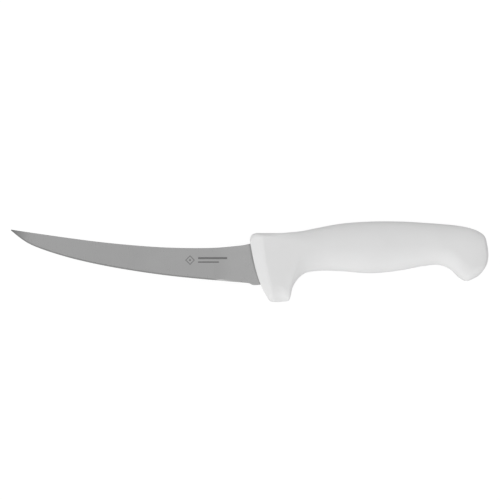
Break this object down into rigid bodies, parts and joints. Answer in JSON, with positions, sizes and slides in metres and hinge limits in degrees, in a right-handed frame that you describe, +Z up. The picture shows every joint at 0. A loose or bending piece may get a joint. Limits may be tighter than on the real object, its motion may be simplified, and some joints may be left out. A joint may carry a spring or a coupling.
{
  "type": "boning knife",
  "caption": "Curved boning knife: upswept satin steel blade, seamless white moulded handle with a finger guard and a pommel hook.",
  "frame": {"origin": "under the middle of the knife's box, on the surface that the knife lies on", "axes": "+X from the blade's tip to the handle's butt, +Y from the cutting edge to the spine, +Z up, square to the blade"},
  "size_m": [0.29, 0.049, 0.021],
  "materials": {
    "satin_steel": "satin ground",
    "natural_polypropylene": "as moulded",
    "white_polypropylene": "fine satin mould texture"
  },
  "bodies": {
    "root": {"blade": "satin_steel", "handle_core": "natural_polypropylene", "handle_cover": "white_polypropylene"}
  },
  "joints": []
}
